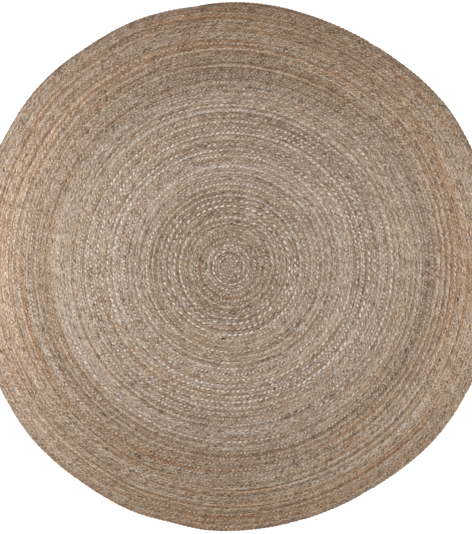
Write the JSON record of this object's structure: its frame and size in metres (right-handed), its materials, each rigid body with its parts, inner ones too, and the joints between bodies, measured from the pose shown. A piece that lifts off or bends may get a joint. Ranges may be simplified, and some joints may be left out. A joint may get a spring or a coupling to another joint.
{
  "type": "round braided jute rug",
  "caption": "Round flat floor rug made from one flat jute braid coiled from the middle outwards and sewn edge to edge, with ribbed rows and a slightly uneven rim.",
  "frame": {"origin": "middle of the rug's outline, on the floor it lies on", "axes": "+Z up out of the ribbed top face, +Y towards the edge where the braid's outer end is tucked in, +X to the right seen from above with +Y up"},
  "size_m": [2.001, 1.998, 0.009],
  "materials": {
    "jute": "dry matt plant fibre, mixed brown, grey and whitish yarns"
  },
  "bodies": {
    "root": {"coiled_braid": "jute"}
  },
  "joints": []
}
